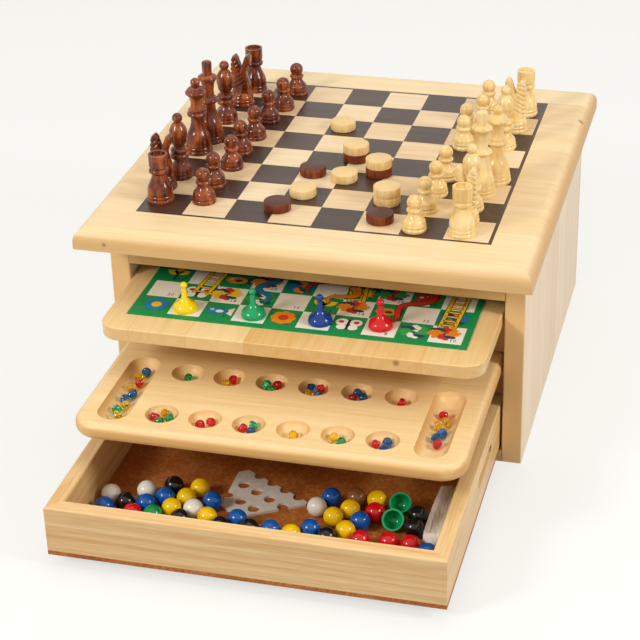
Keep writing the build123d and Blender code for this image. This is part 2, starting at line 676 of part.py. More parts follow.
# ---------------------------------------------------------------- write every node
def write_case():
    save("case_dowels", *case_dowels())
    save("strip_screws", *strip_screws())
    save("top_board_screws", *top_screws())
    save("top_board", drilled(top_board(), top_screws()))
    save("chess_squares_dark", *chess_squares(True))
    save("chess_squares_pale", *chess_squares(False))
    save("chessboard_border", chessboard_border())
    rail = block(-INNER_HALF, INNER_HALF, FRONT, FRONT + PANEL, CASE_HEIGHT - RAIL_HEIGHT, CASE_HEIGHT)
    save("front_rail", drilled(rail, case_dowels()))
    save("bottom_board", drilled(block(-INNER_HALF, INNER_HALF, FRONT, REAR, 0, BOTTOM), case_dowels()))
    back = block(-INNER_HALF, INNER_HALF, REAR - BACK, REAR, BOTTOM, CASE_HEIGHT)
    save("back_panel", drilled(back, case_dowels()))
    for side, panel in zip(("left", "right"), on_both_sides(side_panel())):
        save(f"side_panel_{side}", drilled(panel, case_dowels() + strip_screws()))
    for level, name in enumerate(("lower_runner", "upper_runner")):
        for side, piece in zip(("left", "right"), on_both_sides(strip(level))):
            save(f"{name}_{side}", drilled(piece, strip_screws()))
    for side, piece in zip(("left", "right"), on_both_sides(strip(2))):
        save(f"top_cleat_{side}", drilled_for_top_screws(drilled(piece, strip_screws())))


def write_trays():
    tray = tray_board(UPPER_FRONT, UPPER_UNDERSIDE, UPPER_TRAY_TOP, UPPER_TRAY_CORNER, UPPER_TRAY_EDGE)
    save("upper_tray_board", tray)
    save("snakes_and_ladders_card", card())
    for colour, piece in counters().items():
        save(f"counter_{colour}", piece)
    save("lower_tray_board", lower_tray())
    for colour, beads in gems().items():
        save(f"gems_{colour}", *beads)


def write_drawer():
    front, side, back = drawer_walls()
    save("drawer_dowels", *drawer_dowels())
    save("drawer_bottom_pins", *drawer_pins())
    bottom = block(-SLIDE_HALF, SLIDE_HALF, DRAWER_FRONT, DRAWER_REAR, BOTTOM, DRAWER_FLOOR)
    save("drawer_bottom", drilled(bottom, drawer_pins()))
    save("drawer_front", drilled(front, drawer_pins()))
    save("drawer_back", drilled(back, drawer_pins() + drawer_dowels()))
    for name, wall in zip(("left", "right"), on_both_sides(side)):
        save(f"drawer_side_{name}", drilled(wall, drawer_pins() + drawer_dowels()))
    for colour, group in balls().items():
        save(f"balls_{colour}", *group)
    save("green_cups", *cups())
    save("pierced_card", pierced_card())
    save("parts_bag", parts_bag())


os.makedirs("parts", exist_ok=True)
write_case()
write_trays()
write_drawer()
men(dark_army(), "dark", 0)
men(pale_army(), "pale", 180)
save("draughts_dark", *draughts("dark"))
save("draughts_pale", *draughts("pale"))
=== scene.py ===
# %% [markdown]
# # A games compendium box
# A pale wooden box with an inlaid chessboard on its lid, two trays and a drawer that slide out of its
# front, and all the loose pieces: chessmen, draughts, counters, glass beads, painted balls. The boards
# come from the CAD model and only get their finish here. Everything that is turned, carved, printed or
# crumpled is modelled here, in metres and in the model's own frame.

# %% Load the model
from math import asin, cos, pi, radians, sin, sqrt

import bmesh
import bpy
from mathutils import Matrix, Vector, noise


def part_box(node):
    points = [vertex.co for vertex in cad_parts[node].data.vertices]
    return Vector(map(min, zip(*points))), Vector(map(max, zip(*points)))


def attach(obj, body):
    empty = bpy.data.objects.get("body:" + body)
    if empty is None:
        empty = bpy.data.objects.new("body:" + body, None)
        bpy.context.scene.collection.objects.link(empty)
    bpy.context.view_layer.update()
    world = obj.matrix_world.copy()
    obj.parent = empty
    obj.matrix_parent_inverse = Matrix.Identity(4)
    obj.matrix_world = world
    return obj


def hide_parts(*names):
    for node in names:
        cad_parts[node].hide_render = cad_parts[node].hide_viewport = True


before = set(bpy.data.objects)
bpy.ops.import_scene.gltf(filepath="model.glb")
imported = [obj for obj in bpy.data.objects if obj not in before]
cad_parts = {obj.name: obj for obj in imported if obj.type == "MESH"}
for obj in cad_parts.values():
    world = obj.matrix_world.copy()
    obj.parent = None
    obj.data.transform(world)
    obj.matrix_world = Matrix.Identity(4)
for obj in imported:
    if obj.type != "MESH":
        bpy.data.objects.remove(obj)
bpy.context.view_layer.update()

# %% [markdown]
# ## The camera
# A product view from the front right, looking down at about 29 degrees. A long lens keeps the box's
# upright edges nearly parallel. Blender's camera looks along its own -Z, so its matrix is built from
# the viewing direction, and a small roll stands for a camera that was held a little askew.

# %% Camera
azimuth, elevation, roll = radians(-14.723), radians(28.897), radians(-1.214)
forward = Vector((sin(azimuth) * cos(elevation), cos(azimuth) * cos(elevation), -sin(elevation)))
level = Vector((cos(azimuth), -sin(azimuth), 0))
upright = level.cross(forward)
right = level * cos(roll) + upright * sin(roll)
up = upright * cos(roll) - level * sin(roll)
camera = bpy.data.objects.new("camera", bpy.data.cameras.new("camera"))
bpy.context.collection.objects.link(camera)
eye = (0.2840, -1.1300, 0.6676)
facing = Matrix((right, up, -forward)).transposed().to_4x4()
camera.matrix_world = Matrix.Translation(eye) @ facing
camera.data.sensor_width = 36
camera.data.lens = 104.7
camera.data.shift_x = -0.0392
camera.data.shift_y = -0.006
camera.data.clip_start = 0.05
bpy.context.scene.camera = camera
print("camera looks along", [round(value, 3) for value in forward])

# %% [markdown]
# ## Small helpers for materials
# Colours are written as sRGB hex, the way a paint chart gives them, and one function turns them linear
# for the shader. One more adds any node with its settings and its links, which keeps a long material
# readable, and the last two wire a tree to its shader.

# %% Colours and nodes
def srgb(code):
    """An sRGB hex colour as the linear values that a shader takes."""
    parts = [int(code[start:start + 2], 16) / 255 for start in (1, 3, 5)]
    return [part / 12.92 if part <= 0.04045 else ((part + 0.055) / 1.055) ** 2.4 for part in parts] + [1.0]


def add(tree, kind, inputs=None, stops=None, **settings):
    """Add a node. An input is a value, a node or a node's socket, and stops are a ramp's colours."""
    node = tree.nodes.new("ShaderNode" + kind)
    for setting, value in settings.items():
        setattr(node, setting, value)
    if stops:
        node.color_ramp.elements[0].position = stops[0][0]
        node.color_ramp.elements[-1].position = stops[-1][0]
        for place, colour in stops[1:-1]:
            node.color_ramp.elements.new(place)
        for element, (place, colour) in zip(node.color_ramp.elements, stops):
            element.color = srgb(colour) if isinstance(colour, str) else (colour, colour, colour, 1)
    for key, value in (inputs or {}).items():
        if isinstance(value, bpy.types.Node):
            value = value.outputs[0]
        if isinstance(value, bpy.types.NodeSocket):
            tree.links.new(value, node.inputs[key])
        else:
            node.inputs[key].default_value = value
    return node


def new_finish(name, **sockets):
    """A new material, its node tree and its shader, with plain values set on the shader."""
    material = bpy.data.materials.new(name)
    material.use_nodes = True
    shader = material.node_tree.nodes["Principled BSDF"]
    for socket, value in sockets.items():
        shader.inputs[socket.replace("_", " ")].default_value = value
    return material, material.node_tree, shader


def wire(tree, shader, **sources):
    """Link nodes, or their sockets, to the shader's inputs."""
    for socket, source in sources.items():
        output = source.outputs[0] if isinstance(source, bpy.types.Node) else source
        tree.links.new(output, shader.inputs[socket.replace("_", " ")])


def bump(tree, height, strength, distance):
    """Relief from a height, with its greatest depth in metres."""
    return add(tree, "Bump", {"Height": height, "Strength": strength, "Distance": distance})


# %% [markdown]
# ## Solid wood
# The box is made of a pale, close-grained hardwood such as rubberwood, glued up from staves about
# 30 to 60 mm wide, sanded and lacquered clear. That gives the eye four things: staves that differ a
# little in tone, growth rings cut lengthwise into long flames, fine short pores, and darker, finer
# speckled end grain. The pattern lives in Object coordinates, in metres, and a Mapping node turns the
# grain onto X. White Noise on the stave's number moves the pattern, so each stave is another piece.

# %% Wood
GRAIN_ONTO_X = {"X": (0, 0, 0), "Y": (0, 0, -pi / 2), "Z": (0, pi / 2, 0)}
RINGS = 26.0
GLUE_LINE = 0.0005
KNOT_BROWN = "#8a5a2c"
END_GRAIN_FROM = 0.55


def timber(name, light, dark, end, grain="X", cell=(9.0, 0.040), start=(-4.5, 0.0), joint=0.3,
           spread=0.24, figure=0.2, fibre=0.22, vein=(5, 160, 0.7), gloss=0.45, coat=0.1, ending=0.8,
           edge=None, knots=()):
    """Lacquered wood, with its grain along an axis.

    cell is the size of a stave along and across the grain, and start one corner of a stave. joint is how
    dark a glue line is, spread how much the staves differ, figure, fibre and vein how strong rings,
    pores and streaks are, and ending how much end grain darkens. edge is painted shade on the board's
    edges: its deeper tone, its share, and the axis that the board's broad faces face.
    """
    material, tree, shader = new_finish(name, Coat_Weight=coat, Coat_Roughness=0.22, IOR=1.5)
    place = add(tree, "TexCoord")
    grained = add(tree, "Mapping", {"Vector": place.outputs["Object"], "Rotation": GRAIN_ONTO_X[grain]})
    shifted = add(tree, "VectorMath", {0: grained, 1: (*start, -5.0)}, operation="SUBTRACT")
    counted = add(tree, "VectorMath", {0: shifted, 1: (*cell, 10.0)}, operation="DIVIDE")
    number = add(tree, "VectorMath", {0: counted}, operation="FLOOR")
    chance = add(tree, "TexWhiteNoise", {"Vector": number}, noise_dimensions="3D")
    own = add(tree, "VectorMath", {0: chance.outputs["Color"], 1: (2, 2, 2), 2: grained}, operation="MULTIPLY_ADD")
    # Growth rings: contour lines of a noise that is 60 mm across and about a metre along the grain.
    slow = add(tree, "Mapping", {"Vector": own, "Scale": (1.0, 16, 16)})
    swell = add(tree, "TexNoise", {"Vector": slow, "Scale": 1.0, "Detail": 1.5, "Roughness": 0.4})
    rings = add(tree, "Math", {0: swell.outputs["Fac"], 1: RINGS}, operation="MULTIPLY")
    ring = add(tree, "Math", {0: rings}, operation="FRACT")
    flame = add(tree, "ValToRGB", {"Fac": ring}, stops=[(0, 0.8), (0.5, 0.62), (0.82, 0.2), (1, 0.8)])
    # Streaks 6 mm across, and pores, which are really 0.2 mm wide but drawn at 0.9 mm so that they show.
    broad = add(tree, "Mapping", {"Vector": own, "Scale": (vein[0], vein[1], vein[1])})
    streak = add(tree, "TexNoise", {"Vector": broad, "Scale": 1.0, "Detail": 2.0})
    narrow = add(tree, "Mapping", {"Vector": own, "Scale": (45, 1100, 1100)})
    pores = add(tree, "TexNoise", {"Vector": narrow, "Scale": 1.0, "Detail": 2.0})
    tone = add(tree, "Math", {0: chance.outputs["Value"], 1: spread, 2: 0.5 - spread / 2}, operation="MULTIPLY_ADD")
    flamed = add(tree, "Math", {0: flame, 1: figure, 2: -figure / 2}, operation="MULTIPLY_ADD")
    streaked = add(tree, "Math", {0: streak.outputs["Fac"], 1: vein[2], 2: -vein[2] / 2}, operation="MULTIPLY_ADD")
    pored = add(tree, "Math", {0: pores.outputs["Fac"], 1: 2 * fibre, 2: -fibre}, operation="MULTIPLY_ADD")
    first = add(tree, "Math", {0: tone, 1: flamed}, operation="ADD")
    second = add(tree, "Math", {0: streaked, 1: pored}, operation="ADD")
    total = add(tree, "Math", {0: first, 1: second}, operation="ADD", use_clamp=True)
    colour = add(tree, "ValToRGB", {"Fac": total}, stops=[(0.05, dark), (0.95, light)])
    # A glue line shows as a dark hair about half a millimetre wide.
    across = add(tree, "SeparateXYZ", {"Vector": counted})
    nearest = add(tree, "Math", {0: across.outputs["Y"], 1: 0.5}, operation="PINGPONG")
    line = add(tree, "MapRange", {"Value": nearest, "From Max": GLUE_LINE / cell[1], "To Min": joint, "To Max": 0.0})
    jointed = add(tree, "Mix", {0: line, 6: colour, 7: srgb(end)}, data_type="RGBA")
    # End grain is where the surface faces along the grain, and it begins before it faces quite along.
    facing = add(tree, "Mapping", {"Vector": place.outputs["Normal"], "Rotation": GRAIN_ONTO_X[grain]})
    faced = add(tree, "SeparateXYZ", {"Vector": facing})
    along = add(tree, "Math", {0: faced.outputs["X"]}, operation="ABSOLUTE")
    ended = add(tree, "MapRange", {"Value": along, "From Min": END_GRAIN_FROM, "From Max": 1.0, "To Max": ending})
    body = add(tree, "Mix", {0: ended, 6: jointed.outputs[2], 7: srgb(end)}, data_type="RGBA")
    mottled = add(tree, "Mix", {0: pored, 6: body.outputs[2], 7: srgb(light)}, data_type="RGBA")
    wood_tone_and_edge_shade = mottled.outputs[2]
    if edge:
        # Painted shade: where the surface turns from the board's broad faces, on its routed edges and its front
        # and end faces, the tone is mixed toward a deeper gold, which stands for the shade that falls there.
        turning = add(tree, "SeparateXYZ", {"Vector": place.outputs["Normal"]})
        flatness = add(tree, "Math", {0: turning.outputs[edge[2]]}, operation="ABSOLUTE")
        edge_shade_share = add(tree, "MapRange", {"Value": flatness, "From Min": 0.9, "From Max": 0.3, "To Max": edge[1]})
        wood_tone_and_edge_shade = add(tree, "Mix", {0: edge_shade_share, 6: wood_tone_and_edge_shade, 7: srgb(edge[0])}, data_type="RGBA").outputs[2]
    for centre, radius in knots:
        reach = add(tree, "VectorMath", {0: place.outputs["Object"], 1: centre}, operation="DISTANCE")
        spot = add(tree, "MapRange", {"Value": reach.outputs["Value"], "From Min": 0.3 * radius, "From Max": radius,
                                      "To Min": 0.75, "To Max": 0.0})
        wood_tone_and_edge_shade = add(tree, "Mix", {0: spot, 6: wood_tone_and_edge_shade, 7: srgb(KNOT_BROWN)}, data_type="RGBA").outputs[2]
    matt = add(tree, "MapRange", {"Value": pores.outputs["Fac"], "To Min": gloss + 0.08, "To Max": gloss - 0.06})
    wire(tree, shader, Base_Color=wood_tone_and_edge_shade, Roughness=matt, Normal=bump(tree, pores.outputs["Fac"], 0.25, 0.0002))
    return material


STAVE_LENGTH = 9.0
SQUARE = (0.028, 0.028)
BOARD_CORNER = (-0.112, -0.1295)
# The edge settings of the lid, the side panels and the lower tray are painted shade: a deeper gold on their edges and
# front faces, where shade falls.
WOODS = {
    "lid": timber("rubberwood_lid", "#f9e8c1", "#e6c38c", "#c4955c", "X", (STAVE_LENGTH, 0.042), (-13.5, -0.1975),
                  joint=0.2, spread=0.4, edge=("#d1a151", 0.6, "Z"),
                  knots=[((0.1410, 0.0720, 0.1565), 0.0030), ((-0.1240, -0.1645, 0.1492), 0.0018)]),
    "side": timber("rubberwood_side", "#f9ead4", "#e6c8a0", "#b98548", "Z", (STAVE_LENGTH, 0.036), (-4.5, -0.1275),
                   spread=0.36, edge=("#f6cc86", 0.75, "X")),
    "rail": timber("rubberwood_rail", "#edc98c", "#c9934a", "#a9773a", "X", (STAVE_LENGTH, 0.060), (-4.5, -0.14),
                   figure=0.3),
    "floor_board": timber("rubberwood_bottom", "#ecd0a2", "#cfa56c", "#a87a45", "X", (STAVE_LENGTH, 0.050),
                          (-4.5, -0.1275)),
    "upper_tray": timber("rubberwood_upper_tray", "#f3d9a4", "#dcae66", "#dcb274", "Y", (STAVE_LENGTH, 0.037),
                         (-4.5, -0.1215), spread=0.75, joint=0.8, ending=0.35,
                         knots=[((0.0690, -0.1945, 0.1053), 0.0028)]),
    "lower_tray": timber("rubberwood_lower_tray", "#f8e2b2", "#e4bd80", "#bf8a48", "X", (STAVE_LENGTH, 0.047),
                         (-4.5, -0.2515), spread=0.2, edge=("#dda64e", 0.45, "Z")),
    "drawer_front": timber("rubberwood_drawer_front", "#f8dcaa", "#d29f5c", "#a9793f", "X", (STAVE_LENGTH, 0.060),
                           (-4.5, -0.32), figure=0.34, fibre=0.34, vein=(4, 330, 1.1), joint=0.0),
    "drawer_side": timber("rubberwood_drawer_side", "#f3d6a2", "#d0a05c", "#a9793f", "Y", (STAVE_LENGTH, 0.060),
                          (-4.5, -0.03), figure=0.4, fibre=0.34, vein=(4, 330, 1.1), joint=0.0),
    "strip": timber("pine_strip", "#e9cb97", "#cc9f63", "#b08450", "Y", (STAVE_LENGTH, 0.050), (-4.5, -0.2),
                    joint=0.0, coat=0.0, gloss=0.6),
    "dowel": timber("beech_dowel", "#dcb98c", "#c09364", "#a87c50", "Y", (STAVE_LENGTH, 0.050), (-4.5, -0.2),
                    joint=0.0, coat=0.0, gloss=0.6),
    "pale_square": timber("maple_veneer_squares", "#f6e3c0", "#dcbb8b", "#c09860", "X", SQUARE, BOARD_CORNER,
                          joint=0.0, spread=0.5),
    "dark_square": timber("dyed_veneer_squares", "#533829", "#271913", "#1c1411", "X", SQUARE, BOARD_CORNER,
                          joint=0.0, spread=0.3, gloss=0.32, coat=0.0),
}
print("wood finishes:", len(WOODS))

# %% [markdown]
# ## Turned and stained wood
# The men are turned on a lathe from small blanks, with the grain upright, and dipped: one army in a
# red-brown stain, the other only in clear lacquer. Stain soaks in unevenly, so the dark men are
# blotched from near black to orange-brown, and the thin gloss of the dip gives small sharp highlights.
# The draughts are sliced from a rod, so their flat faces are end grain, which drinks more stain and
# stays duller than their sides.

# %% Turned wood
MAN_STREAKS = (420, 420, 38)
DRAUGHT_STREAKS = (420, 420, 60)
LEVEL_FROM = 0.6
END_SOAKED = 0.85


def dipped(name, tones, gloss, end=None, streaks=MAN_STREAKS, blotch=90, lustre=0.5):
    """Turned wood after its dip. Its streaks stand upright, about 2.5 mm wide and 25 mm long."""
    material, tree, shader = new_finish(name, IOR=1.5, Specular_IOR_Level=lustre)
    place = add(tree, "TexCoord")
    stretched = add(tree, "Mapping", {"Vector": place.outputs["Object"], "Scale": streaks})
    streak = add(tree, "TexNoise", {"Vector": stretched, "Scale": 1.0, "Detail": 3.0})
    patch = add(tree, "TexNoise", {"Vector": place.outputs["Object"], "Scale": blotch, "Detail": 2.0})
    both = add(tree, "Mix", {0: 0.5, 2: streak.outputs["Fac"], 3: patch.outputs["Fac"]})
    shade = add(tree, "ValToRGB", {"Fac": both}, stops=[(0.34, tones[0]), (0.5, tones[1]), (0.66, tones[2])])
    tone = shade.outputs["Color"]
    if end:
        faced = add(tree, "SeparateXYZ", {"Vector": place.outputs["Normal"]})
        level = add(tree, "Math", {0: faced.outputs["Z"]}, operation="ABSOLUTE")
        ended = add(tree, "MapRange", {"Value": level, "From Min": LEVEL_FROM, "From Max": 1.0, "To Max": END_SOAKED})
        tone = add(tree, "Mix", {0: ended, 6: tone, 7: srgb(end)}, data_type="RGBA").outputs[2]
    matt = add(tree, "MapRange", {"Value": streak.outputs["Fac"], "To Min": gloss + 0.05, "To Max": gloss - 0.05})
    wire(tree, shader, Base_Color=tone, Roughness=matt, Normal=bump(tree, streak.outputs["Fac"], 0.15, 0.0001))
    return material


DARK_MAN = dipped("stained_boxwood_dark", ("#2c0d06", "#74300f", "#b2602a"), 0.11, lustre=0.45)
PALE_MAN = dipped("boxwood_pale", ("#e0b96f", "#eed090", "#f8e3ae"), 0.17, blotch=60, lustre=0.42)
DARK_DRAUGHT = dipped("stained_beech_draught", ("#3a170e", "#6e2d17", "#95501f"), 0.42, "#4e3028", DRAUGHT_STREAKS,
                      lustre=0.3)
PALE_DRAUGHT = dipped("beech_draught", ("#dcb26a", "#ecca8c", "#f5dfac"), 0.38, "#eccf98", DRAUGHT_STREAKS, lustre=0.3)
print("turned finishes: 4")

# %% [markdown]
# ## Plastic, paint, glass, card and steel
# The counters and the two cups are gloss-moulded polystyrene, the balls are wooden beads tumbled in
# enamel, and the mancala beads are pressed glass. A moulded or tumbled surface is never flat: a slow,
# shallow noise in the bump breaks up the highlight, and the colour drifts by a few percent.

# %% Plastic, paint and glass
DULLED = 0.86


def coloured(name, tone, roughness, wave=120, depth=0.0002, drift=0.12, **sockets):
    """A coloured, smooth surface that undulates a little and drifts a little in tone."""
    material, tree, shader = new_finish(name, Roughness=roughness, **sockets)
    place = add(tree, "TexCoord")
    wavy = add(tree, "TexNoise", {"Vector": place.outputs["Object"], "Scale": wave, "Detail": 2.0})
    dull = [DULLED * part for part in srgb(tone)[:3]] + [1.0]
    blend = add(tree, "MapRange", {"Value": wavy.outputs["Fac"], "From Min": 0.3, "From Max": 0.7, "To Max": drift * 8})
    mixed = add(tree, "Mix", {0: blend, 6: srgb(tone), 7: dull}, data_type="RGBA")
    wire(tree, shader, Base_Color=mixed.outputs[2], Normal=bump(tree, wavy.outputs["Fac"], 0.2, depth))
    return material


PLASTIC_TONES = {"yellow": "#ffdf00", "green": "#0ca668", "blue": "#073c94", "red": "#dc0d14"}
PAINT_TONES = {"white": "#f7f7f3", "black": "#161416", "blue": "#0a5ab6", "yellow": "#ffd202", "red": "#d80f1a",
               "green": "#078f48", "brown": "#8a5c38"}
GLASS_TONES = {"red": "#f02430", "blue": "#1c74c4", "green": "#3cbd7c", "yellow": "#ffd71e"}
INK_TONES = {"green": "#0a8f50", "white": "#f3f1e9", "black": "#22231f", "blue": "#1a7cb0", "red": "#d0382a",
             "orange": "#ee8d1c", "yellow": "#f5cc2a", "navy": "#27415f", "leaf": "#35a858"}
PLASTIC = {colour: coloured(f"polystyrene_{colour}", tone, 0.12, wave=60, IOR=1.59, Specular_IOR_Level=0.35)
           for colour, tone in PLASTIC_TONES.items()}
PAINT = {colour: coloured(f"enamel_{colour}", tone, 0.14, wave=180, IOR=1.5, Specular_IOR_Level=0.45)
         for colour, tone in PAINT_TONES.items()}
GLASS = {colour: coloured(f"pressed_glass_{colour}", tone, 0.03, wave=400, IOR=1.5, Transmission_Weight=0.85)
         for colour, tone in GLASS_TONES.items()}
PRINT = {colour: coloured(f"printing_ink_{colour}", tone, 0.42, wave=90, depth=0.00005, drift=0.05,
                          Specular_IOR_Level=0.35)
         for colour, tone in INK_TONES.items()}
CARD = coloured("grey_board_card", "#dcd9d2", 0.75, wave=300, depth=0.0002)
STEEL = coloured("zinc_plated_steel", "#b9b8b3", 0.38, wave=800, Metallic=1.0)
print("smooth finishes:", len(PLASTIC) + len(PAINT) + len(GLASS) + len(PRINT) + 2)

# %% [markdown]
# ## Hardboard
# The drawer's floor is thin hardboard: wood fibre pressed with hot resin, red-brown, with paler fibres
# lying every way and a slightly shiny pressed face. Two noises at fibre size, one stretched, give the
# flecks. Its fibres are drawn about 2 mm long.

# %% Hardboard
HARDBOARD, tree, shader = new_finish("pressed_hardboard", Specular_IOR_Level=0.4, Roughness=0.5)
place = add(tree, "TexCoord")
fleck = add(tree, "TexNoise", {"Vector": place.outputs["Object"], "Scale": 420, "Detail": 4.0, "Roughness": 0.7})
cloud = add(tree, "TexNoise", {"Vector": place.outputs["Object"], "Scale": 34, "Detail": 3.0})
both = add(tree, "Mix", {0: 0.4, 2: fleck.outputs["Fac"], 3: cloud.outputs["Fac"]})
shade = add(tree, "ValToRGB", {"Fac": both}, stops=[(0.34, "#8a4a1e"), (0.5, "#b0662b"), (0.68, "#cf9353")])
wire(tree, shader, Base_Color=shade, Normal=bump(tree, fleck.outputs["Fac"], 0.3, 0.0002))
print("hardboard done")

# %% [markdown]
# ## Finish the boards
# Every board of the case, the trays and the drawer keeps its CAD mesh and gets its wood, with the
# grain along its length, as a joiner lays it.

# %% Boards
BOARDS = {
    "lid": ["top_board"],
    "side": ["side_panel_left", "side_panel_right"],
    "rail": ["front_rail"],
    "floor_board": ["bottom_board", "back_panel"],
    "upper_tray": ["upper_tray_board"],
    "lower_tray": ["lower_tray_board"],
    "drawer_front": ["drawer_front", "drawer_back"],
    "drawer_side": ["drawer_side_left", "drawer_side_right"],
    "strip": ["lower_runner_left", "lower_runner_right", "upper_runner_left", "upper_runner_right",
              "top_cleat_left", "top_cleat_right"],
    "dowel": ["case_dowels", "drawer_dowels"],
    "pale_square": ["chess_squares_pale"],
    "dark_square": ["chess_squares_dark", "chessboard_border"],
}
FINISHES = {node: WOODS[wood] for wood, nodes in BOARDS.items() for node in nodes}
FINISHES.update({node: STEEL for node in ("strip_screws", "top_board_screws", "drawer_bottom_pins")})
FINISHES.update({"drawer_bottom": HARDBOARD, "green_cups": PLASTIC["green"], "pierced_card": CARD,
                 "snakes_and_ladders_card": PRINT["green"]})
for node, material in FINISHES.items():
    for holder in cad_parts[node].material_slots:
        holder.material = material
print("finished nodes:", len(FINISHES), "of", len(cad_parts))

# %% [markdown]
# ## Where the loose pieces are
# Each group of loose pieces is one CAD node with several solids. A copy of its mesh is merged and
# split into islands, and each island's box says where that piece stands, so the pieces made here take
# exactly the CAD's places.

# %% Islands, copies and finished pieces
def solids(node):
    """The lowest and highest corner of each separate solid of a CAD node."""
    merged = bmesh.new()
    merged.from_mesh(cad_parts[node].data)
    bmesh.ops.remove_doubles(merged, verts=merged.verts, dist=1e-6)
    found, waiting = [], set(merged.verts)
    while waiting:
        island = [waiting.pop()]
        for vert in island:
            touching = {edge.other_vert(vert) for edge in vert.link_edges} & waiting
            waiting -= touching
            island.extend(touching)
        spans = list(zip(*(vert.co for vert in island)))
        found.append((Vector(map(min, spans)), Vector(map(max, spans))))
    merged.free()
    return sorted(found, key=lambda pair: (round(pair[0].y, 5), pair[0].x, pair[0].z))


def standing(low, high):
    """The matrix that stands a piece where a solid stands."""
    return Matrix.Translation(((low.x + high.x) / 2, (low.y + high.y) / 2, low.z))


def copies(shape, places):
    """One bmesh with the shape repeated at every place, where a place is a matrix."""
    pattern = bpy.data.meshes.new("pattern")
    shape.to_mesh(pattern)
    shape.free()
    whole = bmesh.new()
    for place in places:
        before = len(whole.verts)
        whole.from_mesh(pattern)
        whole.verts.ensure_lookup_table()
        bmesh.ops.transform(whole, matrix=place, verts=whole.verts[before:])
    bpy.data.meshes.remove(pattern)
    return whole


def keep(shape, name, finish, body, stands_for=(), crease=35):
    """Make a finished bmesh an object with its finish, on its body. Edges past crease stay sharp."""
    mesh = bpy.data.meshes.new(name)
    shape.to_mesh(mesh)
    shape.free()
    mesh.materials.append(finish)
    mesh.shade_smooth()
    mesh.set_sharp_from_angle(angle=radians(crease))
    piece = bpy.data.objects.new(name, mesh)
    bpy.context.collection.objects.link(piece)
    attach(piece, body)
    if stands_for:
        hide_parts(*stands_for)
    print(name, len(mesh.polygons), "faces")
    return piece


# %% [markdown]
# ## Turning
# A lathe makes each piece from one outline, and so does bmesh's spin. The outline is written as a
# turner would call it out: a stack of sections, each with the radius it ends at, its height, and how
# far it bows out or in. All of it is in millimetres, as a turner measures, and becomes metres in turned().

# %% Turned outlines
def outline(foot_radius, sections, knob=0.0):
    """The points of a turned outline, in millimetres, from the foot's centre to the top's centre."""
    points, here = [(0, 0), (foot_radius, 0)], Vector((foot_radius, 0))
    for radius, rise, bow in sections:
        there = Vector((radius, here.y + rise))
        outwards = Vector((rise, here.x - radius)).normalized()
        pieces = 1 + int((there - here).length * 1.5) if bow else 1
        for piece in range(1, pieces + 1):
            share = piece / pieces
            points.append(tuple(here.lerp(there, share) + outwards * 4 * bow * share * (1 - share)))
        here = there
    if knob:
        lowest = pi - asin(here.x / knob)
        for step in range(9, -1, -1):
            angle = lowest * step / 10
            points.append((knob * sin(angle), here.y + knob * (cos(angle) - cos(lowest))))
    elif here.x:
        points.append((0, here.y))
    return points


def turned(points, steps=32):
    """Spin an outline round the Z axis into a closed shape."""
    shape = bmesh.new()
    verts = [shape.verts.new((radius / 1000, 0, height / 1000)) for radius, height in points]
    edges = [shape.edges.new(pair) for pair in zip(verts, verts[1:])]
    bmesh.ops.spin(shape, geom=verts + edges, cent=(0, 0, 0), axis=(0, 0, 1), dvec=(0, 0, 0), angle=2 * pi,
                   steps=steps, use_merge=True)
    bmesh.ops.remove_doubles(shape, verts=shape.verts, dist=1e-7)
    bmesh.ops.recalc_face_normals(shape, faces=shape.faces)
    return shape


def foot(radius):
    """The moulded foot that all the men share."""
    return [(radius + 0.1, 2.3, 0.3), (radius - 0.5, 0.5, 0.0), (radius - 0.4, 2.1, 0.5)]


MEN = {
    "pawns": outline(7.5, foot(7.5) + [
        (6.1, 3.0, 0.35), (3.7, 3.8, -0.3), (4.4, 1.0, 0.2), (4.5, 2.0, 0.5), (3.4, 0.7, 0)], 4.7),
    "rooks": outline(8.4, foot(8.4) + [
        (7.2, 6.6, 0.5), (4.3, 7.2, -0.15), (5.9, 1.0, 0), (6.0, 2.6, 0.5), (5.0, 0.8, 0), (6.2, 1.2, 0),
        (6.2, 8.0, 0), (4.7, 0, 0), (4.7, -2.0, 0)]),
    "bishops": outline(7.9, foot(7.9) + [
        (5.7, 3.6, 0.5), (3.5, 4.2, -0.3), (5.9, 1.0, 0), (6.1, 2.8, 0.4), (4.8, 0.9, 0), (5.4, 0.5, 0),
        (5.2, 2.5, 0.6), (3.8, 0.7, 0), (3.6, 1.2, 0), (5.2, 4.6, 0.6), (5.8, 4.6, 0.3), (4.6, 4.2, 0.4),
        (2.1, 2.9, 0.3)], 3.4),
    "queen": outline(9.2, foot(9.2) + [
        (8.4, 2.6, 0.2), (6.8, 7.0, 0.4), (4.4, 7.5, -0.4), (4.3, 3.4, 0), (6.4, 1.2, 0), (6.5, 1.8, 0.3),
        (5.2, 1.2, 0.2), (5.3, 1.6, 0.5), (4.4, 0.6, 0), (4.3, 6.0, -0.5), (6.6, 3.6, -0.4), (6.4, 2.6, 0.7),
        (2.3, 3.2, 0.5)], 3.3),
    "king": outline(9.4, foot(9.4) + [
        (8.6, 2.6, 0.2), (7.0, 8.0, 0.4), (4.5, 8.5, -0.4), (4.4, 3.4, 0), (6.2, 1.2, 0), (6.5, 2.2, 0.5),
        (4.4, 1.4, 0), (4.2, 7.0, -0.5), (6.3, 5.5, -0.6), (6.3, 2.0, 0.3), (3.2, 1.6, 0.2), (3.4, 7.6, 0),
        (2.4, 1.4, 0.3)]),
}
for colour, finish in (("dark", DARK_MAN), ("pale", PALE_MAN)):
    for kind, points in MEN.items():
        places = [standing(low, high) for low, high in solids(f"{kind}_{colour}")]
        keep(copies(turned(points), places), f"turned_{kind}_{colour}", finish, f"chess_{colour}",
             [f"{kind}_{colour}"])

